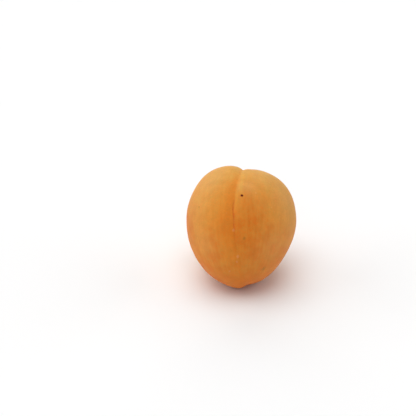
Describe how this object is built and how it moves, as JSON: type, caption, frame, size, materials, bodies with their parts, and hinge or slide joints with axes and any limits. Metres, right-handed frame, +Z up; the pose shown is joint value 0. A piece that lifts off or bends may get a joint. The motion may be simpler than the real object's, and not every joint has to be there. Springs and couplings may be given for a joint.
{
  "type": "apricot",
  "caption": "Whole ripe apricot with its suture, stem hollow and blunt tip, lying tilted on a small flat spot.",
  "frame": {"origin": "middle of the fruit's box at the level of the surface that it rests on", "axes": "+Z up as the fruit rests, -Y towards the suture, +X to the right of someone who faces the suture; the core leans 36 degrees from +Z, with the stem end up and towards +Y"},
  "size_m": [0.045, 0.0486, 0.0473],
  "materials": {
    "skin": "matte"
  },
  "bodies": {
    "root": {"apricot": "skin"}
  },
  "joints": []
}
